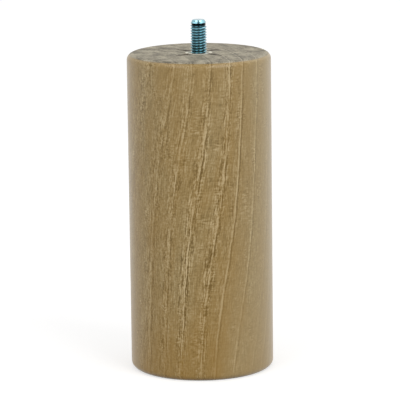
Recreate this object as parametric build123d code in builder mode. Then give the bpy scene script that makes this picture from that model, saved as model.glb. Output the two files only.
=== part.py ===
"""A turned wooden bed leg with an M8 hanger bolt screwed into its top.

Millimetres. The leg stands on z = 0 with its axis on z, and the bolt's stud points up.
"""
import os

from build123d import *

# The turned leg
leg_diameter = 67.5
leg_height = 150.0
top_edge_radius = 3.0
foot_edge_radius = 3.0

# The hanger bolt: an M8 machine thread above the leg, a wood screw thread inside it.
# Both threads are drawn at their outer diameters.
machine_thread_diameter = 8.0
stud_reach = 15.5
tip_chamfer = 1.2
wood_thread_diameter = 7.5
wood_thread_length = 28.5
gimlet_length = 6.0
gimlet_end_diameter = 1.0

# The hole that the bolt is screwed into, with a countersunk mouth
bolt_clearance = 0.05
mouth_gap = 1.0
countersink_angle = 90.0

# Marks that a lathe's drive centre pressed into the top: V grooves, one from each prong
prong_count = 4
first_prong_angle = 45.0
prong_inner_radius = 6.0
prong_outer_radius = 15.0
prong_width = 1.6
prong_bite = 2.0

# Levels and radii that both pieces share
stud_radius = machine_thread_diameter / 2
screw_radius = wood_thread_diameter / 2
gimlet_end_radius = gimlet_end_diameter / 2
tip_level = leg_height + stud_reach
gimlet_level = leg_height - wood_thread_length
point_level = gimlet_level - gimlet_length

with BuildPart() as hanger_bolt:
    with BuildSketch(Plane.XZ):
        with BuildLine():
            Polyline(
                (0, tip_level),
                (stud_radius, tip_level),
                (stud_radius, leg_height),
                (screw_radius, leg_height),
                (screw_radius, gimlet_level),
                (gimlet_end_radius, point_level),
                (0, point_level),
                close=True,
            )
        make_face()
    revolve(axis=Axis.Z)
    chamfer(hanger_bolt.edges().group_by(Axis.Z)[-1], tip_chamfer)

# One groove, lying along x: a V across the prong, run out from its inner to its outer end
with BuildPart() as prong_mark:
    with BuildSketch(Plane.YZ.offset(prong_inner_radius)):
        with BuildLine():
            Polyline(
                (-prong_width / 2, leg_height),
                (prong_width / 2, leg_height),
                (0, leg_height - prong_bite),
                close=True,
            )
        make_face()
    extrude(amount=prong_outer_radius - prong_inner_radius)

bore_radius = screw_radius + bolt_clearance
mouth_radius = max(stud_radius, screw_radius) + mouth_gap

with BuildPart() as leg:
    Cylinder(leg_diameter / 2, leg_height, align=(Align.CENTER, Align.CENTER, Align.MIN))
    fillet(leg.edges().group_by(Axis.Z)[-1], top_edge_radius)
    fillet(leg.edges().group_by(Axis.Z)[0], foot_edge_radius)
    with Locations((0, 0, leg_height)):
        CounterSinkHole(bore_radius, mouth_radius, wood_thread_length, countersink_angle)
    with Locations((0, 0, gimlet_level)):
        Cone(
            gimlet_end_radius + bolt_clearance,
            bore_radius,
            gimlet_length + bolt_clearance,
            align=(Align.CENTER, Align.CENTER, Align.MAX),
            mode=Mode.SUBTRACT,
        )
    with PolarLocations(0, prong_count, start_angle=first_prong_angle):
        add(prong_mark.part, mode=Mode.SUBTRACT)

leg.part.label = "leg"
hanger_bolt.part.label = "hanger_bolt"

os.makedirs("parts", exist_ok=True)
export_step(leg.part, "parts/leg.step")
export_step(hanger_bolt.part, "parts/hanger_bolt.step")
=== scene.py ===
"""The visual model of a turned beech bed leg with a hanger bolt screwed into its top.

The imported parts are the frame. The leg is turned again as a fine lathe mesh, with the bites of the lathe's
drive centre in its end grain, and the bolt gets its two real threads. Lengths are metres, except in the
finishes, where the patterns are worked out in millimetres.
"""

import logging
import math
from collections.abc import Callable, Sequence
from dataclasses import dataclass
from enum import Enum
from itertools import pairwise

import bpy
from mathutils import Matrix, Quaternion, Vector


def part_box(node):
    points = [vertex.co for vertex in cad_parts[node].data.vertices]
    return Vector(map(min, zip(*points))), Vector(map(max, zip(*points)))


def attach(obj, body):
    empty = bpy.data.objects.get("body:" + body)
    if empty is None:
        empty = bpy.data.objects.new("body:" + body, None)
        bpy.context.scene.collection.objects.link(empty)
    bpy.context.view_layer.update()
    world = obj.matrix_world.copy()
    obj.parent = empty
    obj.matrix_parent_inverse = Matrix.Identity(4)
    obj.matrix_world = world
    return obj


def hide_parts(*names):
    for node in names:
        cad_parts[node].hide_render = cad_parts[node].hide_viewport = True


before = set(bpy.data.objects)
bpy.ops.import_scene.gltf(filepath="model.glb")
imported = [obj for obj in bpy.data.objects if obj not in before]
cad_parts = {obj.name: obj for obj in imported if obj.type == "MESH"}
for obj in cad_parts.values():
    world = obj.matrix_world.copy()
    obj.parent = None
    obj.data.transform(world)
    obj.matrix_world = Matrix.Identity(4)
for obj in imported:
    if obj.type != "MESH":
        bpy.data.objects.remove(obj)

LOG = logging.getLogger("bed_leg")
MM = 0.001
FULL_TURN = 2.0 * math.pi
BODY = "root"
MERGE_DISTANCE = 0.001 * MM
CUT_TOLERANCE = 0.0001 * MM
SMOOTH_ANGLE = math.radians(35.0)
WHITE = "#ffffff"
# Nearly all of a noise pattern lies between these levels
NOISE_LOW = 0.3
NOISE_HIGH = 0.7

Colour = tuple[float, float, float, float]
Point = tuple[float, float]
Size = tuple[float, float, float]


class Join(Enum):
    """How one solid is joined to another."""

    ADD = "UNION"
    CUT = "DIFFERENCE"
    KEEP_COMMON = "INTERSECT"


class ThreadForm(Enum):
    """What a thread is made to go into."""

    MACHINE = "stud_thread"
    WOOD = "wood_thread"


class LegFace(Enum):
    """The leg's surfaces, numbered as its material slots are."""

    SIDE = 0
    END = 1
    BORE = 2
    BITE = 3


def linear(hex_code: str) -> Colour:
    """Turns an sRGB hex colour into the linear colour that a shader takes.

    Args:
        hex_code: the colour as #rrggbb.

    Returns:
        Linear red, green and blue, with an alpha of 1.
    """
    parts = [int(hex_code[i:i + 2], 16) / 255.0 for i in (1, 3, 5)]
    red, green, blue = (c / 12.92 if c <= 0.04045 else ((c + 0.055) / 1.055) ** 2.4 for c in parts)
    return red, green, blue, 1.0


def add(tree: bpy.types.NodeTree, kind: str, inputs: dict[str | int, object],
        stops: Sequence[tuple[float, float | Colour]] = (), **settings: object) -> bpy.types.Node:
    """Adds one shader node with its settings, values and links.

    Args:
        tree: the node tree that takes the node.
        kind: the node's type, without the ShaderNode that every such type starts with.
        inputs: a socket's name or number to its value, or to the node or output that feeds it.
        stops: a colour ramp's places from 0 to 1, each with its grey level or colour.
        settings: the node's own properties, such as its operation.

    Returns:
        The new node.
    """
    node = tree.nodes.new("ShaderNode" + kind)
    for name, value in settings.items():
        setattr(node, name, value)
    for name, value in inputs.items():
        named = [s for s in node.inputs if s.enabled and s.name == name]
        socket = named[0] if named else node.inputs[name]
        if isinstance(value, bpy.types.Node):
            value = next(s for s in value.outputs if s.enabled)
        if isinstance(value, bpy.types.NodeSocket):
            tree.links.new(value, socket)
        else:
            socket.default_value = value
    for index, (place, shade) in enumerate(stops):
        elements = node.color_ramp.elements
        element = elements.new(place) if index > 1 else elements[index]
        element.position = place
        element.color = shade if isinstance(shade, tuple) else (shade, shade, shade, 1.0)
    return node


def new_finish(name: str) -> tuple[bpy.types.Material, bpy.types.NodeTree]:
    """Starts a material with an empty node tree.

    Args:
        name: the material's name.

    Returns:
        The material and its tree.
    """
    material = bpy.data.materials.new(name)
    material.use_nodes = True
    material.node_tree.nodes.clear()
    return material, material.node_tree


def evenly(start: float, end: float, count: int) -> list[float]:
    """Values from start to end in equal steps, without the first one."""
    return [start + (end - start) * i / count for i in range(1, count + 1)]


def arc(centre: Point, radius: float, start: float, end: float, count: int) -> list[Point]:
    """Points along an arc of a half section.

    Args:
        centre: the arc's centre, as a radius and a height.
        radius: the arc's radius.
        start: the angle of the first point, in degrees from outwards towards up.
        end: the angle of the last point.
        count: how many steps the arc has.

    Returns:
        The points, both ends included.
    """
    angles = [math.radians(a) for a in (start, *evenly(start, end, count))]
    return [(centre[0] + radius * math.cos(a), centre[1] + radius * math.sin(a)) for a in angles]


def draw_profile(name: str, points: Sequence[Point]) -> bpy.types.Object:
    """Draws an open half section in the XZ plane, by extruding one vertex from point to point.

    Args:
        name: the new object's name.
        points: the section's points, each a radius and a height.

    Returns:
        The object, left in edit mode with all of its profile selected.
    """
    bpy.ops.object.select_all(action="DESELECT")
    bpy.ops.mesh.primitive_plane_add(size=MM)
    profile = bpy.context.object
    profile.name = profile.data.name = name
    bpy.ops.object.mode_set(mode="EDIT")
    bpy.ops.mesh.select_all(action="SELECT")
    bpy.ops.mesh.merge(type="CENTER")
    bpy.ops.transform.translate(value=(points[0][0], 0.0, points[0][1]))
    for (r0, z0), (r1, z1) in pairwise(points):
        bpy.ops.mesh.extrude_vertices_move(TRANSFORM_OT_translate={"value": (r1 - r0, 0.0, z1 - z0)})
    bpy.ops.mesh.select_all(action="SELECT")
    return profile


def close_surface() -> None:
    """Merges doubled points of the mesh in edit mode, turns its faces outwards and leaves edit mode."""
    bpy.ops.mesh.select_all(action="SELECT")
    bpy.ops.mesh.remove_doubles(threshold=MERGE_DISTANCE)
    bpy.ops.mesh.normals_make_consistent(inside=False)
    bpy.ops.object.mode_set(mode="OBJECT")


def turn_on_lathe(name: str, points: Sequence[Point], steps: int) -> bpy.types.Object:
    """Turns a half section round the upright axis.

    Args:
        name: the new object's name.
        points: the half section, from axis to axis.
        steps: how many sides the turned piece has.

    Returns:
        The closed piece, in object mode.
    """
    piece = draw_profile(name, points)
    bpy.ops.mesh.spin(steps=steps, angle=FULL_TURN, center=(0.0, 0.0, 0.0), axis=(0.0, 0.0, 1.0))
    close_surface()
    return piece


def pick_points(piece: bpy.types.Object, chosen: Callable[[Vector], bool]) -> None:
    """Selects some points of the piece in edit mode.

    Args:
        piece: the piece that is being edited.
        chosen: tells from a point's place whether it is selected.
    """
    bpy.ops.mesh.select_all(action="DESELECT")
    bpy.ops.object.mode_set(mode="OBJECT")
    for vertex in piece.data.vertices:
        vertex.select = chosen(vertex.co)
    bpy.ops.object.mode_set(mode="EDIT")


def combine(piece: bpy.types.Object, tool: bpy.types.Object, how: Join) -> None:
    """Joins a tool solid to the piece, and removes the tool.

    Args:
        piece: the solid that is kept.
        tool: the solid that is added to it, cut from it, or shares what is kept.
        how: which of these it is.
    """
    bpy.ops.object.select_all(action="DESELECT")
    piece.select_set(True)
    bpy.context.view_layer.objects.active = piece
    boolean = piece.modifiers.new(how.name.lower(), "BOOLEAN")
    boolean.operation = how.value
    boolean.object = tool
    boolean.material_mode = "TRANSFER"
    bpy.ops.object.modifier_apply(modifier=boolean.name)
    bpy.data.objects.remove(tool)
    bpy.ops.object.mode_set(mode="EDIT")
    close_surface()


def hand_over(piece: bpy.types.Object, node: str) -> None:
    """Puts a finished piece in its CAD node's place.

    Args:
        piece: the finished piece.
        node: the name of the CAD node.
    """
    bpy.ops.object.shade_smooth_by_angle(angle=SMOOTH_ANGLE)
    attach(piece, BODY)
    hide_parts(node)
    LOG.info("%s stands for %s with %d faces", piece.name, node, len(piece.data.polygons))


def place_in_mm(tree: bpy.types.NodeTree) -> bpy.types.Node:
    """Works out where on the part a point lies.

    Args:
        tree: the material's node tree.

    Returns:
        A node with the point's place in millimetres.
    """
    place = add(tree, "TexCoord", {}).outputs["Object"]
    return add(tree, "VectorMath", {0: place, "Scale": 1.0 / MM}, operation="SCALE")


def seen_light(tree: bpy.types.NodeTree) -> bpy.types.Node:
    """Tells what is seen, also as a reflection or through glass, from what only lights other things.

    Args:
        tree: the node tree of a material or of the world.

    Returns:
        A node that is 1 for what is seen and 0 for the rest.
    """
    rays = add(tree, "LightPath", {}).outputs
    seen = add(tree, "Math", {0: rays["Is Camera Ray"], 1: rays["Is Glossy Ray"]}, operation="MAXIMUM")
    return add(tree, "Math", {0: seen, 1: rays["Is Transmission Ray"]}, operation="MAXIMUM")


@dataclass(frozen=True)
class Ring:
    """A year's ring: where it ends, and how strongly its line and the cut vessels beside it show."""

    place: float
    line: float
    vessels: float


@dataclass(frozen=True)
class BeechGrain:
    """How the leg's wood lay in its tree. Lengths are millimetres."""

    # Towards the bark, from the right towards the back
    ring_direction: float = math.radians(16.0)
    # The rings lean over to the right as they rise, most of all along a band that slopes across the front
    middle: float = 75.0
    lean: float = 0.018
    bend_reach: float = 7.2
    bend_middle: float = 87.0
    bend_slope: float = 3.0
    bend_length: float = 70.0
    curvature: float = 0.003
    rings: tuple[Ring, ...] = (
        Ring(-28.4, 0.3, 0.6), Ring(-21.4, 0.7, 0.65), Ring(-15.3, 0.7, 0.75), Ring(-8.0, 1.0, 0.95),
        Ring(0.6, 1.1, 1.0), Ring(6.4, 1.7, 0.6), Ring(13.8, 0.9, 0.4), Ring(20.8, 0.4, 0.4),
    )
    # The ones nearest to the bark, apart from the others because a colour ramp has room for eight
    bark_rings: tuple[Ring, ...] = (
        Ring(24.6, 0.5, 0.0), Ring(27.2, 0.6, 0.6), Ring(29.3, 0.7, 0.7),
        Ring(31.0, 0.7, 0.8), Ring(32.6, 0.7, 0.8), Ring(35.0, 0.7, 0.8),
    )
    # How far rings are drawn to either side of the leg's axis
    reach: float = 40.0
    line_width: float = 0.42
    # How strongly vessels show in the plain wood between the rings' ends
    plain: float = 0.35
    # How far the lines wander to either side, and over what length
    wander: float = 0.16
    wander_size: float = 8.0

    def space(self, tree: bpy.types.NodeTree) -> bpy.types.Node:
        """Works out where a point lies in the tree the wood came from.

        Args:
            tree: the material's node tree.

        Returns:
            A node whose vector runs across the rings, along them, and along the fibres, in millimetres.
        """
        place = place_in_mm(tree)
        x, y, z = add(tree, "SeparateXYZ", {0: place}).outputs
        bend = add(tree, "Math", {0: x, 1: self.bend_slope, 2: z}, operation="MULTIPLY_ADD")
        bend = add(tree, "MapRange", {
            "Value": bend, "From Min": self.bend_middle, "From Max": self.bend_middle + self.bend_length,
        }, clamp=False)
        bend = add(tree, "Math", {0: bend}, operation="TANH")
        shift = add(tree, "Math", {
            0: z, 1: self.lean, 2: -self.lean * self.middle,
        }, operation="MULTIPLY_ADD")
        shift = add(tree, "Math", {0: bend, 1: self.bend_reach, 2: shift}, operation="MULTIPLY_ADD")
        wander = add(tree, "TexNoise", {"Vector": place, "Scale": 1.0 / self.wander_size, "Detail": 1.0})
        wander = add(tree, "MapRange", {
            "Value": wander, "From Min": NOISE_LOW, "From Max": NOISE_HIGH,
            "To Min": -self.wander, "To Max": self.wander,
        })
        shift = add(tree, "Math", {0: shift, 1: wander}, operation="ADD")
        x = add(tree, "Math", {0: x, 1: shift}, operation="SUBTRACT")
        upright = add(tree, "CombineXYZ", {0: x, 1: y, 2: z})
        return add(tree, "VectorRotate", {
            "Vector": upright, "Angle": -self.ring_direction,
        }, rotation_type="Z_AXIS")

    def ring_place(self, tree: bpy.types.NodeTree, space: bpy.types.Node) -> bpy.types.Node:
        """Works out how far towards the bark a point lies.

        Args:
            tree: the material's node tree.
            space: the place in the tree the wood came from.

        Returns:
            A node that runs from 0 to 1 over twice the grain's reach.
        """
        across, along, _ = add(tree, "SeparateXYZ", {0: space}).outputs
        curve = add(tree, "Math", {0: along, 1: along}, operation="MULTIPLY")
        across = add(tree, "Math", {0: curve, 1: self.curvature, 2: across}, operation="MULTIPLY_ADD")
        return add(tree, "MapRange", {"Value": across, "From Min": -self.reach, "From Max": self.reach})

    def ring_lines(self, tree: bpy.types.NodeTree, place: bpy.types.Node) -> list[bpy.types.Node]:
        """Draws the growth rings: a thin light line where each ends and a darker one on its right.

        Args:
            tree: the material's node tree.
            place: the place across the rings, from 0 to 1.

        Returns:
            Two nodes that are 0.5 between the lines, higher on light ones and lower on dark ones.
        """
        # Places in line widths from the ring's end, and how much lighter or darker the wood is there
        shape = ((-1.0, 0.0), (0.0, 0.4), (1.0, -0.3), (2.2, 0.0))
        return [add(tree, "ValToRGB", {"Fac": place}, [
            (self.stop(ring.place + offset * self.line_width), 0.5 + level * ring.line)
            for ring in rings for offset, level in shape
        ]) for rings in (self.rings, self.bark_rings)]

    def vessel_share(self, tree: bpy.types.NodeTree, place: bpy.types.Node) -> bpy.types.Node:
        """Tells where the cut vessels crowd: along each ring's end, and all over nearest to the bark.

        Args:
            tree: the material's node tree.
            place: the place across the rings, from 0 to 1.

        Returns:
            A node that runs from the plain wood's share up to 1.
        """
        # Places from the ring's end, and how far the vessels there are crowded
        shape = ((-3.0, 0.0), (-1.3, 1.0), (1.0, 1.0), (2.4, 0.0))
        crowd = add(tree, "ValToRGB", {"Fac": place}, [
            (self.stop(ring.place + offset), self.plain + level * max(ring.vessels - self.plain, 0.0))
            for ring in self.rings for offset, level in shape
        ])
        bark = add(tree, "ValToRGB", {"Fac": place}, [
            (self.stop(ring.place), ring.vessels) for ring in self.bark_rings
        ])
        return add(tree, "Math", {0: crowd, 1: bark}, operation="MAXIMUM")

    def stop(self, across: float) -> float:
        """The place of a colour ramp's stop, from 0 to 1, for a length across the rings."""
        return (across + self.reach) / (2.0 * self.reach)

    @staticmethod
    def noise(tree: bpy.types.NodeTree, space: bpy.types.Node, size: Size, detail: float) -> bpy.types.Node:
        """Makes noise that is drawn out along the wood's own directions.

        Args:
            tree: the material's node tree.
            space: the place in the tree the wood came from.
            size: how large a patch of it is across the rings, along them and along the fibres.
            detail: how much finer noise lies on top.

        Returns:
            A node that runs from 0 to 1.
        """
        shares = [1.0 / length for length in size]
        place = add(tree, "VectorMath", {0: space, 1: shares}, operation="MULTIPLY")
        noise = add(tree, "TexNoise", {"Vector": place, "Scale": 1.0, "Detail": detail, "Roughness": 0.6})
        return add(tree, "MapRange", {"Value": noise, "From Min": NOISE_LOW, "From Max": NOISE_HIGH})

    @staticmethod
    def blend(tree: bpy.types.NodeTree, layers: Sequence[tuple[bpy.types.Node, float | bpy.types.Node]],
              ) -> bpy.types.Node:
        """Adds patterns up to one tone.

        Args:
            tree: the material's node tree.
            layers: each pattern, whose middle is 0.5, with its contrast.

        Returns:
            A node that runs from 0, dark, to 1, light.
        """
        tone: float | bpy.types.Node = 0.5
        for pattern, contrast in layers:
            part = add(tree, "Math", {0: pattern, 1: 0.5}, operation="SUBTRACT")
            tone = add(tree, "Math", {0: part, 1: contrast, 2: tone}, operation="MULTIPLY_ADD")
        return add(tree, "Clamp", {"Value": tone})


@dataclass(frozen=True)
class LacqueredBeech:
    """Beech, turned, sanded and sprayed with a thin satin lacquer. Lengths are millimetres."""

    # Beech gives the eye a warm tan with thin ring lines, short dashes where vessels are cut along and small
    # bars where the rays lie in the surface. The satin lacquer greys it towards the edges.
    leg_height: float
    name: str = "beech_turned_and_lacquered"
    pale: str = "#c6b188"
    middle: str = "#967f50"
    deep: str = "#58420a"
    # Clouds of warmer wood, and more of it towards the foot
    amber: str = "#8f6c24"
    amber_share: float = 0.5
    cloud: Size = (9.0, 9.0, 50.0)
    foot_share: float = 0.35
    foot_height: float = 45.0
    # The younger wood towards the bark, where the leg is turned from the paler side of the plank
    outer: str = "#ae9c76"
    outer_share: float = 0.42
    outer_start: float = 3.0
    outer_end: float = 20.0
    # The same paler wood towards the top
    top_share: float = 0.14
    top_start: float = 100.0
    ring_contrast: float = 1.3
    # One ray: long towards the bark, thin across. Its real thickness of about 0.15 is drawn at 0.9, because
    # a thinner one wouldn't show. Rays stand out as small bars in patches, where the cut runs along them.
    ray: Size = (4.5, 0.9, 0.7)
    ray_contrast: float = 0.18
    fleck: Size = (4.0, 4.0, 12.0)
    fleck_contrast: float = 0.6
    fleck_start: float = 0.7
    fleck_full: float = 0.95
    # Cut vessels, drawn at four times their width of 0.1 so that they show
    vessel: Size = (0.42, 0.42, 7.0)
    vessel_contrast: float = 0.9
    # The ends of the vessels, short and broken
    pore: Size = (0.5, 0.5, 1.2)
    pore_contrast: float = 0.6
    # Heights, and how light the turned edges are there: painted shade along the rounded foot, a painted
    # highlight along the top's rounded edge, and darker where the end grain starts
    edges: tuple[Point, ...] = (
        (0.9, 0.0), (2.1, 0.5), (148.2, 0.5), (148.7, 0.64), (149.1, 0.5), (149.4, 0.25), (149.7, 0.5),
    )
    edge_light_and_shade_contrast: float = 0.8
    roughness: float = 0.32
    vessel_roughness: float = 0.46
    relief: float = 0.08
    gloss: float = 0.15
    coat: float = 0.55
    coat_roughness: float = 0.3
    coat_ior: float = 1.45

    def tone(self, tree: bpy.types.NodeTree, grain: BeechGrain, space: bpy.types.Node,
             place: bpy.types.Node) -> bpy.types.Node:
        """Adds up all that makes the wood lighter or darker.

        Args:
            tree: the material's node tree.
            grain: how the wood lay in its tree.
            space: the place in the tree the wood came from.
            place: the place across the rings, from 0 to 1.

        Returns:
            A node that runs from 0, dark, to 1, light.
        """
        crowd = grain.vessel_share(tree, place)
        vessels = add(tree, "Math", {0: crowd, 1: self.vessel_contrast}, operation="MULTIPLY")
        pores = add(tree, "Math", {0: crowd, 1: self.pore_contrast}, operation="MULTIPLY")
        flecks = add(tree, "MapRange", {
            "Value": grain.noise(tree, space, self.fleck, 1.0),
            "From Min": self.fleck_start, "From Max": self.fleck_full,
            "To Min": self.ray_contrast, "To Max": self.fleck_contrast,
        })
        _, _, height = add(tree, "SeparateXYZ", {0: space}).outputs
        share = add(tree, "Math", {0: height, 1: self.leg_height}, operation="DIVIDE")
        # Painted shade at the foot and a painted highlight on the top's rounded edge, by height
        edges = add(tree, "ValToRGB", {"Fac": share}, [
            (z / self.leg_height, level) for z, level in self.edges
        ])
        return grain.blend(tree, (
            *((lines, self.ring_contrast) for lines in grain.ring_lines(tree, place)),
            (grain.noise(tree, space, self.vessel, 1.0), vessels),
            (grain.noise(tree, space, self.pore, 1.0), pores),
            (grain.noise(tree, space, self.ray, 1.0), flecks),
            (edges, self.edge_light_and_shade_contrast),
        ))

    def colour(self, tree: bpy.types.NodeTree, grain: BeechGrain, space: bpy.types.Node,
               place: bpy.types.Node, tone: bpy.types.Node) -> bpy.types.Node:
        """Colours the wood by its tone: warmer in clouds and at the foot, paler towards bark and top.

        Args:
            tree: the material's node tree.
            grain: how the wood lay in its tree.
            space: the place in the tree the wood came from.
            place: the place across the rings, from 0 to 1.
            tone: how light the wood is, from 0 to 1.

        Returns:
            A node with the colour.
        """
        _, _, height = add(tree, "SeparateXYZ", {0: space}).outputs
        body = add(tree, "ValToRGB", {"Fac": tone}, (
            (0.0, linear(self.deep)), (0.5, linear(self.middle)), (1.0, linear(self.pale)),
        ))
        low = add(tree, "MapRange", {
            "Value": height, "From Min": self.foot_height, "From Max": 0.0, "To Max": self.foot_share,
        })
        cloud = grain.noise(tree, space, self.cloud, 2.0)
        warm = add(tree, "Math", {0: cloud, 1: self.amber_share, 2: low}, operation="MULTIPLY_ADD")
        body = add(tree, "Mix", {"Factor": warm, "A": body, "B": linear(self.amber)}, data_type="RGBA")
        young = add(tree, "MapRange", {
            "Value": place, "To Max": self.outer_share,
            "From Min": grain.stop(self.outer_start), "From Max": grain.stop(self.outer_end),
        })
        high = add(tree, "MapRange", {
            "Value": height, "To Max": self.top_share,
            "From Min": self.top_start, "From Max": self.leg_height,
        })
        young = add(tree, "Math", {0: young, 1: high}, operation="ADD")
        return add(tree, "Mix", {"Factor": young, "A": body, "B": linear(self.outer)}, data_type="RGBA")

    def material(self, grain: BeechGrain) -> bpy.types.Material:
        """Builds the finish.

        Args:
            grain: how the wood lay in its tree.

        Returns:
            The material for the leg's side and rounded edges.
        """
        material, tree = new_finish(self.name)
        space = grain.space(tree)
        place = grain.ring_place(tree, space)
        tone = self.tone(tree, grain, space, place)
        body = self.colour(tree, grain, space, place, tone)
        rough = add(tree, "MapRange", {
            "Value": grain.noise(tree, space, self.vessel, 1.0),
            "To Min": self.roughness, "To Max": self.vessel_roughness,
        })
        bump = add(tree, "Bump", {"Strength": 0.3, "Distance": self.relief * MM, "Height": tone})
        shader = add(tree, "BsdfPrincipled", {
            "Base Color": body, "Roughness": rough, "Specular IOR Level": self.gloss, "Normal": bump,
            "Coat Weight": self.coat, "Coat Roughness": self.coat_roughness, "Coat IOR": self.coat_ior,
        })
        add(tree, "OutputMaterial", {"Surface": shader})
        return material


@dataclass(frozen=True)
class BeechEndGrain:
    """Beech cut across its fibres. Lengths are millimetres."""

    # Cut fibre ends drink light and lacquer, so they give the eye a greyer, duller and more blotched wood
    name: str
    pale: str
    deep: str
    roughness: float = 0.6
    roughness_spread: float = 0.08
    relief: float = 0.08
    ring_contrast: float = 1.1
    # Lacquer soaks in unevenly, in bands along the rings
    blotch: Size = (4.0, 7.0, 6.0)
    blotch_contrast: float = 1.1
    # Rays run across the end grain as light lines, drawn much wider than they are so that they show
    ray: Size = (14.0, 0.8, 10.0)
    ray_contrast: float = 0.4
    # Cut vessels, drawn as specks of several times their width of 0.1
    pore: Size = (0.7, 0.9, 5.0)
    pore_contrast: float = 0.6

    def material(self, grain: BeechGrain) -> bpy.types.Material:
        """Builds the finish.

        Args:
            grain: how the wood lay in its tree.

        Returns:
            The material for a cut end.
        """
        material, tree = new_finish(self.name)
        space = grain.space(tree)
        place = grain.ring_place(tree, space)
        blotch = grain.noise(tree, space, self.blotch, 4.0)
        tone = grain.blend(tree, (
            *((lines, self.ring_contrast) for lines in grain.ring_lines(tree, place)),
            (blotch, self.blotch_contrast),
            (grain.noise(tree, space, self.ray, 1.0), self.ray_contrast),
            (grain.noise(tree, space, self.pore, 1.0), self.pore_contrast),
        ))
        body = add(tree, "Mix", {
            "Factor": tone, "A": linear(self.deep), "B": linear(self.pale),
        }, data_type="RGBA")
        rough = add(tree, "MapRange", {
            "Value": blotch, "To Min": self.roughness - self.roughness_spread,
            "To Max": self.roughness + self.roughness_spread,
        })
        bump = add(tree, "Bump", {"Strength": 0.4, "Distance": self.relief * MM, "Height": tone})
        shader = add(tree, "BsdfPrincipled", {"Base Color": body, "Roughness": rough, "Normal": bump})
        add(tree, "OutputMaterial", {"Surface": shader})
        return material


@dataclass(frozen=True)
class ZincPlatedSteel:
    """Steel with rolled threads, zinc-plated and blue-passivated. Lengths are millimetres."""

    # Fresh blue zinc gives the eye a bright cool metal whose cast comes and goes. Its thread's roots
    # and the neck below the tip get painted shade
    crest: float
    root: float
    thread_top: float
    neck: float
    neck_width: float
    name: str = "steel_zinc_plated_blue"
    bright: str = "#a3ccd5"
    cast: str = "#5c94a5"
    # The colour of the painted shade in the thread's grooves and the neck
    shade: str = "#0c1518"
    # How far below the crest the painted shade in a groove starts, and how dark it is at its root
    groove_start: float = 0.2
    groove_shade_share: float = 0.78
    mottle: float = 2.5
    grit: float = 0.35
    roughness: float = 0.08
    grit_roughness: float = 0.22
    relief: float = 0.02

    def groove(self, tree: bpy.types.NodeTree, place: bpy.types.Node) -> bpy.types.Node:
        """Tells how much painted shade a point gets: more the deeper in a groove it lies below the chamfered
        tip, all in the neck.

        Args:
            tree: the material's node tree.
            place: the place on the part.

        Returns:
            A node that is 0 on the crests and 1 in the neck below the tip.
        """
        _, _, height = add(tree, "SeparateXYZ", {0: place}).outputs
        from_axis = add(tree, "VectorMath", {0: place, 1: (1.0, 1.0, 0.0)}, operation="MULTIPLY")
        from_axis = add(tree, "VectorMath", {0: from_axis}, operation="LENGTH")
        deep = add(tree, "MapRange", {
            "Value": from_axis, "From Min": self.crest - self.groove_start, "From Max": self.root,
            "To Max": self.groove_shade_share,
        })
        threaded = add(tree, "Math", {0: height, 1: self.thread_top}, operation="LESS_THAN")
        deep = add(tree, "Math", {0: deep, 1: threaded}, operation="MULTIPLY")
        neck_shade = add(tree, "Math", {
            0: height, 1: self.neck, 2: self.neck_width / 2.0,
        }, operation="COMPARE")
        return add(tree, "Math", {0: deep, 1: neck_shade}, operation="MAXIMUM")

    def material(self) -> bpy.types.Material:
        """Builds the finish.

        Returns:
            The material, with painted shade in the grooves and the neck.
        """
        material, tree = new_finish(self.name)
        place = place_in_mm(tree)
        mottle = add(tree, "TexNoise", {"Vector": place, "Scale": 1.0 / self.mottle, "Detail": 3.0})
        grit = add(tree, "TexNoise", {"Vector": place, "Scale": 1.0 / self.grit, "Detail": 2.0})
        colour = add(tree, "Mix", {
            "Factor": mottle, "A": linear(self.bright), "B": linear(self.cast),
        }, data_type="RGBA")
        colour = add(tree, "Mix", {
            "Factor": self.groove(tree, place), "A": colour, "B": linear(self.shade),
        }, data_type="RGBA")
        rough = add(tree, "MapRange", {
            "Value": grit, "To Min": self.roughness, "To Max": self.grit_roughness,
        })
        bump = add(tree, "Bump", {"Strength": 0.15, "Distance": self.relief * MM, "Height": grit})
        shader = add(tree, "BsdfPrincipled", {
            "Base Color": colour, "Metallic": 1.0, "Roughness": rough, "Normal": bump,
        })
        add(tree, "OutputMaterial", {"Surface": shader})
        return material


@dataclass(frozen=True)
class StudioPaper:
    """Matt studio paper."""

    # It gives the eye white, with the leg's own soft shadow on it
    name: str = "paper_matt"
    paper: str = "#cacaca"
    lift: float = 0.56

    def material(self) -> bpy.types.Material:
        """Builds the finish.

        Returns:
            The material, lifted to white where it is seen.
        """
        material, tree = new_finish(self.name)
        lift = add(tree, "Math", {0: seen_light(tree), 1: self.lift}, operation="MULTIPLY")
        matt = add(tree, "BsdfDiffuse", {"Color": linear(self.paper)})
        glow = add(tree, "Emission", {"Strength": lift})
        add(tree, "OutputMaterial", {"Surface": add(tree, "AddShader", {0: matt, 1: glow})})
        return material


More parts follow.
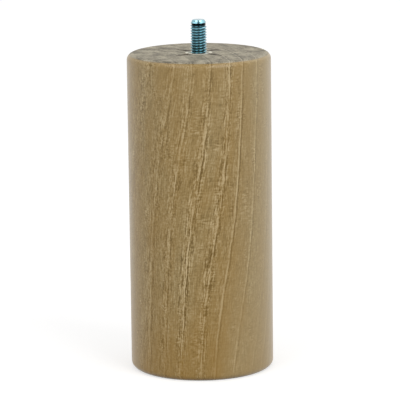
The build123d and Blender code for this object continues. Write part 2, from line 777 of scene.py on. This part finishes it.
@dataclass
class TurnedLeg:
    """The turned leg: a plain cylinder with rounded edges, a countersunk hole and four bites in its top."""

    radius: float
    height: float
    edge_radius: float = 3.0 * MM
    mouth_radius: float = 5.0 * MM
    raw_radius: float = 6.3 * MM
    bore_radius: float = 3.8 * MM
    bore_depth: float = 28.5 * MM
    gimlet_depth: float = 6.05 * MM
    gimlet_end_radius: float = 0.55 * MM
    bite_count: int = 4
    bite_inner: float = 5.8 * MM
    bite_outer: float = 15.0 * MM
    bite_width: float = 2.6 * MM
    bite_end_width: float = 0.9 * MM
    bite_depth: float = 2.0 * MM
    bite_end_depth: float = 0.6 * MM
    bite_rise: float = 0.05 * MM
    bite_turn: float = math.radians(45.0)
    lathe_steps: int = 512
    edge_steps: int = 10
    top_steps: int = 8
    side_steps: int = 24
    foot_steps: int = 5
    # How far a face is turned up or down, as the upright part of its direction, to show end grain
    end_grain_reach: float = 0.8

    def half_section(self) -> list[Point]:
        """Half of the leg's section, from the bottom of the hole over the top and down to the foot.

        Returns:
            The points, each a radius and a height.
        """
        round_in = self.radius - self.edge_radius
        round_foot = self.height - self.edge_radius
        bore_foot = self.height - self.bore_depth
        sink = self.mouth_radius - self.bore_radius
        return [
            (0.0, bore_foot - self.gimlet_depth),
            (self.gimlet_end_radius, bore_foot - self.gimlet_depth),
            (self.bore_radius, bore_foot),
            (self.bore_radius, self.height - sink),
            (self.mouth_radius, self.height),
            (self.raw_radius, self.height),
            *((r, self.height) for r in evenly(self.raw_radius, round_in, self.top_steps)[:-1]),
            *arc((round_in, round_foot), self.edge_radius, 90.0, 0.0, self.edge_steps),
            *((self.radius, z) for z in evenly(round_foot, self.edge_radius, self.side_steps)[:-1]),
            *arc((round_in, self.edge_radius), self.edge_radius, 0.0, -90.0, self.edge_steps),
            *((r, 0.0) for r in evenly(round_in, 0.0, self.foot_steps)),
        ]

    def prongs(self, finish: bpy.types.Material) -> bpy.types.Object:
        """Makes the four prongs of the lathe's drive centre, which bit into the top.

        Args:
            finish: what the bites look like.

        Returns:
            Four wedges round the axis, sharp below, and narrower and shallower outwards.
        """
        length = self.bite_outer - self.bite_inner
        middle = (self.bite_inner + self.bite_outer) / 2.0
        bpy.ops.object.select_all(action="DESELECT")
        half_deep = self.height - self.bite_depth / 2.0
        seat = (middle, 0.0, half_deep + self.bite_rise)
        bpy.ops.mesh.primitive_cube_add(size=self.bite_depth, location=seat)
        prongs = bpy.context.object
        prongs.name = "drive_centre_prongs"
        bpy.ops.object.transform_apply(location=True)
        bpy.ops.object.mode_set(mode="EDIT")
        bpy.ops.mesh.select_all(action="SELECT")
        stretch = (length / self.bite_depth, self.bite_width / self.bite_depth, 1.0)
        bpy.ops.transform.resize(value=stretch, center_override=seat)
        pick_points(prongs, lambda co: co.x > middle)
        taper = (1.0, self.bite_end_width / self.bite_width, 1.0)
        bpy.ops.transform.resize(value=taper, center_override=seat)
        pick_points(prongs, lambda co: co.z < half_deep)
        bpy.ops.transform.resize(value=(1.0, 0.0, 1.0), center_override=seat)
        pick_points(prongs, lambda co: co.x > middle and co.z < half_deep)
        bpy.ops.transform.translate(value=(0.0, 0.0, self.bite_depth - self.bite_end_depth))
        bpy.ops.mesh.select_all(action="SELECT")
        bpy.ops.mesh.remove_doubles(threshold=MERGE_DISTANCE)
        bpy.ops.transform.rotate(value=self.bite_turn, orient_axis="Z", center_override=(0.0, 0.0, 0.0))
        copies = self.bite_count - 1
        bpy.ops.mesh.spin(steps=copies, dupli=True, center=(0.0, 0.0, 0.0), axis=(0.0, 0.0, 1.0),
                          angle=FULL_TURN * copies / self.bite_count)
        close_surface()
        prongs.data.materials.append(finish)
        return prongs

    def dress(self, leg: bpy.types.Object) -> None:
        """Gives each of the leg's faces its slot, by its place and direction. A bite's faces have theirs.

        Args:
            leg: the turned and bitten leg.
        """
        for face in leg.data.polygons:
            if face.material_index == LegFace.BITE.value:
                continue
            from_axis = math.hypot(face.center.x, face.center.y)
            if from_axis < self.raw_radius and face.center.z > self.height / 2.0:
                slot = LegFace.BORE
            elif abs(face.normal.z) > self.end_grain_reach:
                slot = LegFace.END
            else:
                slot = LegFace.SIDE
            face.material_index = slot.value

    def build(self, side: bpy.types.Material, end: bpy.types.Material, bore: bpy.types.Material,
              bite: bpy.types.Material) -> bpy.types.Object:
        """Turns the leg on a lathe, bites its top and gives it its finishes.

        Args:
            side: the finish of its side and rounded edges.
            end: that of its ends.
            bore: that of the hole.
            bite: that of the drive centre's marks.

        Returns:
            The finished piece.
        """
        leg = turn_on_lathe("turned_leg", self.half_section(), self.lathe_steps)
        for finish in (side, end, bore):
            leg.data.materials.append(finish)
        combine(leg, self.prongs(bite), Join.CUT)
        self.dress(leg)
        hand_over(leg, "leg")
        return leg


@dataclass(frozen=True)
class Thread:
    """One thread of the bolt, wound between two heights."""

    form: ThreadForm
    crest_radius: float
    root_radius: float
    pitch: float
    crest_width: float
    root_width: float
    low: float
    high: float
    steps: int

    def wind(self) -> bpy.types.Object:
        """Winds one turn's section up as a right-handed thread, and closes both ends.

        Returns:
            The closed thread.
        """
        start = self.low - 2.0 * self.pitch
        middle = start + self.pitch / 2.0
        thread = draw_profile(self.form.value, [
            (self.root_radius, start),
            (self.root_radius, start + self.root_width / 2.0),
            (self.crest_radius, middle - self.crest_width / 2.0),
            (self.crest_radius, middle + self.crest_width / 2.0),
            (self.root_radius, start + self.pitch - self.root_width / 2.0),
            (self.root_radius, start + self.pitch),
        ])
        bpy.ops.object.mode_set(mode="OBJECT")
        screw = thread.modifiers.new("winding", "SCREW")
        screw.angle = FULL_TURN
        screw.screw_offset = self.pitch
        screw.iterations = math.ceil((self.high - self.low) / self.pitch) + 4
        screw.steps = screw.render_steps = self.steps
        bpy.ops.object.modifier_apply(modifier=screw.name)
        bpy.ops.object.mode_set(mode="EDIT")
        bpy.ops.mesh.select_all(action="SELECT")
        bpy.ops.mesh.remove_doubles(threshold=MERGE_DISTANCE)
        for height, side in ((self.high, 1.0), (self.low, -1.0)):
            bpy.ops.mesh.select_all(action="SELECT")
            bpy.ops.mesh.bisect(plane_co=(0.0, 0.0, height), plane_no=(0.0, 0.0, side), clear_outer=True,
                                use_fill=True, threshold=CUT_TOLERANCE)
        close_surface()
        return thread


@dataclass
class HangerBolt:
    """The hanger bolt: a machine-threaded stud above the leg and a wood screw thread inside it."""

    seat: float
    tip: float
    crest_radius: float = 3.8 * MM
    root_radius: float = 3.2 * MM
    pitch: float = 1.25 * MM
    chamfer: float = 1.1 * MM
    # How much of the chamfer's width the stud has lost where the chamfer starts
    chamfer_start: float = 0.1
    neck_depth: float = 2.1 * MM
    neck_width: float = 0.9 * MM
    neck_radius: float = 3.4 * MM
    sunk_thread: float = 0.6 * MM
    shank_length: float = 4.0 * MM
    shank_radius: float = 3.5 * MM
    screw_crest_radius: float = 3.7 * MM
    screw_root_radius: float = 2.75 * MM
    screw_pitch: float = 3.2 * MM
    screw_crest_width: float = 0.25 * MM
    screw_root_width: float = 1.6 * MM
    screw_length: float = 28.5 * MM
    gimlet_length: float = 6.0 * MM
    gimlet_end_radius: float = 0.5 * MM
    overlap: float = 0.5 * MM
    clearance: float = 0.02 * MM
    steps: int = 96
    screw_steps: int = 64

    def blank(self) -> list[Point]:
        """Half of the section that the threads are trimmed to: gimlet point, grooved stud, chamfered tip.

        Returns:
            The points, each a radius and a height.
        """
        point_top = self.seat - self.screw_length
        neck_top = self.tip - self.neck_depth + self.neck_width / 2.0
        neck_foot = neck_top - self.neck_width
        screw = self.screw_crest_radius + self.clearance
        stud = self.crest_radius + self.clearance
        slope = stud - self.neck_radius
        return [
            (0.0, point_top - self.gimlet_length),
            (self.gimlet_end_radius, point_top - self.gimlet_length),
            (screw, point_top),
            (screw, self.seat - self.sunk_thread - self.shank_length),
            (stud, self.seat - self.sunk_thread),
            (stud, neck_foot - slope / 2.0),
            (self.neck_radius, neck_foot),
            (self.neck_radius, neck_top),
            (stud - self.chamfer_start * self.chamfer, neck_top + slope / 2.0),
            (stud - self.chamfer, self.tip),
            (0.0, self.tip),
        ]

    def build(self, finish: bpy.types.Material) -> bpy.types.Object:
        """Makes both threads and the plain shank between them one solid, and gives it its finish.

        Args:
            finish: the bolt's material.

        Returns:
            The finished piece.
        """
        shank_top = self.seat - self.sunk_thread
        shank_foot = shank_top - self.shank_length
        point = self.seat - self.screw_length - self.gimlet_length
        # A metric thread's crest is an eighth of its pitch wide. Its rounded root is drawn a sixth wide.
        bolt = Thread(
            form=ThreadForm.MACHINE, crest_radius=self.crest_radius, root_radius=self.root_radius,
            pitch=self.pitch, crest_width=self.pitch / 8.0, root_width=self.pitch / 6.0,
            low=shank_top - self.overlap, high=self.tip + self.overlap, steps=self.steps,
        ).wind()
        shank = turn_on_lathe("shank", [
            (0.0, shank_foot),
            (self.shank_radius, shank_foot),
            (self.shank_radius, shank_top),
            (0.0, shank_top),
        ], self.steps)
        screw = Thread(
            form=ThreadForm.WOOD, crest_radius=self.screw_crest_radius, root_radius=self.screw_root_radius,
            pitch=self.screw_pitch, crest_width=self.screw_crest_width, root_width=self.screw_root_width,
            low=point - self.overlap, high=shank_foot + self.overlap, steps=self.screw_steps,
        ).wind()
        combine(bolt, shank, Join.ADD)
        combine(bolt, screw, Join.ADD)
        combine(bolt, turn_on_lathe("blank", self.blank(), self.steps), Join.KEEP_COMMON)
        bolt.name = bolt.data.name = "threaded_hanger_bolt"
        bolt.data.materials.clear()
        bolt.data.materials.append(finish)
        hand_over(bolt, "hanger_bolt")
        return bolt


@dataclass(frozen=True)
class SoftLamp:
    """A square soft lamp that is aimed at the leg."""

    name: str
    place: Size
    side: float
    power: float

    def hang(self, target: Vector) -> None:
        """Hangs the lamp and aims it.

        Args:
            target: where it is aimed at.
        """
        aim = target - Vector(self.place)
        turn = aim.to_track_quat("-Z", "Y").to_euler()
        bpy.ops.object.light_add(type="AREA", location=self.place, rotation=turn)
        lamp = bpy.context.object
        lamp.name = lamp.data.name = self.name
        lamp.data.shape = "SQUARE"
        lamp.data.size = self.side
        lamp.data.energy = self.power


@dataclass
class Studio:
    """The plain studio: white paper under the leg, soft light, and the photograph's camera."""

    middle: float
    floor_side: float = 12.0
    # What the leg and bolt reflect: a white background, and above it bright panels left and right of a dim
    # ceiling. The starts and ends are parts of a direction of length 1, from the middle outwards.
    wall_foot: float = 0.3
    wall_fade: float = 0.2
    panel_start: float = 0.12
    panel_full: float = 0.32
    panel_fade: float = 0.6
    panel_end: float = 0.85
    back_fade: float = 0.45
    back_end: float = 0.7
    level_turn: float = 0.2
    left_level: float = 2.2
    right_level: float = 2.8
    room_share: float = 0.1
    far_share: float = 0.25
    back_share: float = 0.3
    # What lights the leg evenly from all round
    even_level: float = 0.65
    lamps: tuple[SoftLamp, ...] = (
        SoftLamp("key_right", (1.5, -1.75, 1.7), 1.6, 27.0),
        SoftLamp("fill_left", (-1.5, -1.75, 1.7), 1.6, 14.5),
    )
    camera_distance: float = 1350.0 * MM
    camera_elevation: float = math.radians(11.574)
    camera_roll: float = -0.0124
    aim_aside: float = -0.27 * MM
    aim_lift: float = 4.68 * MM
    sensor: float = 36.0
    focal_share: float = 2858.64 / 400.0

    def lay_floor(self, finish: bpy.types.Material) -> None:
        """Lays the paper that the leg stands on.

        Args:
            finish: the paper's material.
        """
        bpy.ops.object.select_all(action="DESELECT")
        bpy.ops.mesh.primitive_plane_add(size=self.floor_side)
        floor = bpy.context.object
        floor.name = floor.data.name = "studio_floor"
        floor.data.materials.append(finish)

    def surroundings(self, tree: bpy.types.NodeTree) -> bpy.types.Node:
        """Works out what is seen around the leg: a white background, and panels on a ceiling above it.

        Args:
            tree: the world's node tree.

        Returns:
            A node with the brightness in each direction.
        """
        direction = add(tree, "TexCoord", {}).outputs["Generated"]
        right, back, up = add(tree, "SeparateXYZ", {0: direction}).outputs
        aside = add(tree, "Math", {0: right}, operation="ABSOLUTE")
        inner = add(tree, "MapRange", {
            "Value": aside, "From Min": self.panel_start, "From Max": self.panel_full,
            "To Min": self.room_share, "To Max": 1.0,
        })
        outer = add(tree, "MapRange", {
            "Value": aside, "From Min": self.panel_fade, "From Max": self.panel_end,
            "To Min": 1.0, "To Max": self.far_share,
        })
        ahead = add(tree, "MapRange", {
            "Value": back, "From Min": self.back_fade, "From Max": self.back_end,
            "To Min": 1.0, "To Max": self.back_share,
        })
        panels = add(tree, "MapRange", {
            "Value": right, "From Min": -self.level_turn, "From Max": self.level_turn,
            "To Min": self.left_level, "To Max": self.right_level,
        })
        for share in (inner, outer, ahead):
            panels = add(tree, "Math", {0: panels, 1: share}, operation="MULTIPLY")
        overhead = add(tree, "MapRange", {
            "Value": up, "From Min": self.wall_foot, "From Max": self.wall_foot + self.wall_fade,
        })
        return add(tree, "Mix", {"Factor": overhead, "A": 1.0, "B": panels})

    def light(self) -> None:
        """Lights the leg evenly and from the lamps, with a white background and panels for it to reflect."""
        world = bpy.data.worlds.new("studio")
        bpy.context.scene.world = world
        world.use_nodes = True
        tree = world.node_tree
        tree.nodes.clear()
        level = add(tree, "Mix", {
            "Factor": seen_light(tree), "A": self.even_level, "B": self.surroundings(tree),
        })
        background = add(tree, "Background", {"Color": linear(WHITE), "Strength": level})
        add(tree, "OutputWorld", {"Surface": background})
        for lamp in self.lamps:
            lamp.hang(Vector((0.0, 0.0, self.middle)))

    def set_camera(self) -> None:
        """Puts the camera where the photograph was taken from."""
        back = Vector((0.0, -math.cos(self.camera_elevation), math.sin(self.camera_elevation)))
        place = Vector((0.0, 0.0, self.middle)) + back * self.camera_distance
        aim = Vector((self.aim_aside, 0.0, self.middle + self.aim_lift)) - place
        turn = aim.to_track_quat("-Z", "Y") @ Quaternion((0.0, 0.0, 1.0), self.camera_roll)
        bpy.ops.object.camera_add(location=place, rotation=turn.to_euler())
        camera = bpy.context.object
        camera.name = camera.data.name = "photo_camera"
        camera.data.sensor_width = self.sensor
        camera.data.lens = self.sensor * self.focal_share
        bpy.context.scene.camera = camera
        bpy.context.scene.view_settings.view_transform = "Standard"


def main() -> None:
    """Builds the leg, the bolt and the studio."""
    logging.basicConfig(level=logging.INFO)
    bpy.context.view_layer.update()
    low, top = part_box("leg")
    bolt_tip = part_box("hanger_bolt")[1].z
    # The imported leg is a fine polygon, so its narrowest half width keeps the round one inside its box
    radius = min(top.x, top.y, -low.x, -low.y) - MERGE_DISTANCE
    grain = BeechGrain()
    TurnedLeg(radius=radius, height=top.z).build(
        side=LacqueredBeech(leg_height=top.z / MM).material(grain),
        end=BeechEndGrain("beech_end_grain_sealed", pale="#b5ac96", deep="#585140").material(grain),
        # The hole and its mouth are painted near white: partly raw unlacquered wood, partly a painted
        # highlight
        bore=BeechEndGrain("beech_bored_raw_painted_highlight", pale="#fbf4e4", deep="#e4dac2").material(grain),
        # The bites are painted very dark: partly crushed end grain, partly painted shade in the grooves
        bite=BeechEndGrain("beech_end_grain_crushed_painted_shade", pale="#544938", deep="#30271c").material(grain),
    )
    bolt = HangerBolt(seat=top.z, tip=bolt_tip)
    bolt.build(ZincPlatedSteel(
        crest=bolt.crest_radius / MM,
        root=bolt.root_radius / MM,
        thread_top=(bolt.tip - bolt.chamfer) / MM,
        neck=(bolt.tip - bolt.neck_depth) / MM,
        neck_width=bolt.neck_width / MM,
    ).material())
    studio = Studio(middle=top.z / 2.0)
    studio.lay_floor(StudioPaper().material())
    studio.light()
    studio.set_camera()


if __name__ == "__main__":
    main()
